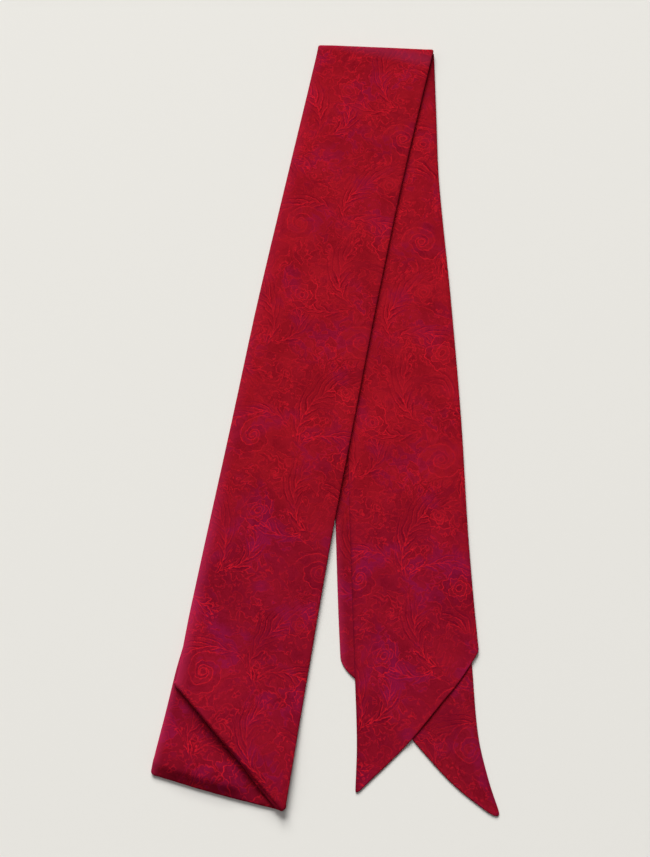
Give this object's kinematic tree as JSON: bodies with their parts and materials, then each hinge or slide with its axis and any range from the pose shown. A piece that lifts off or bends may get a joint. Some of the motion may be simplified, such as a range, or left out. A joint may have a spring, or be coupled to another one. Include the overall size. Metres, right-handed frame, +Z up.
{
  "type": "skinny wild rag scarf, folded flat",
  "caption": "Skinny silk jacquard neck scarf, a sewn tube with slanted ends, folded in half and once more over the top, lying flat with its legs spread.",
  "frame": {"origin": "middle of the outline, on the surface that the scarf lies on", "axes": "+Y from the loose ends to the top fold, +X towards the loose ends' leg, +Z up from the surface"},
  "size_m": [0.1596, 0.3993, 0.0056],
  "materials": {
    "silk_jacquard": "satin silk jacquard, tonal red scrolls and leaves"
  },
  "bodies": {
    "root": {"front_stretch": "silk_jacquard", "neck_stretch": "silk_jacquard", "hidden_layers": "silk_jacquard", "upper_tail": "silk_jacquard", "under_tail": "silk_jacquard"}
  },
  "joints": []
}
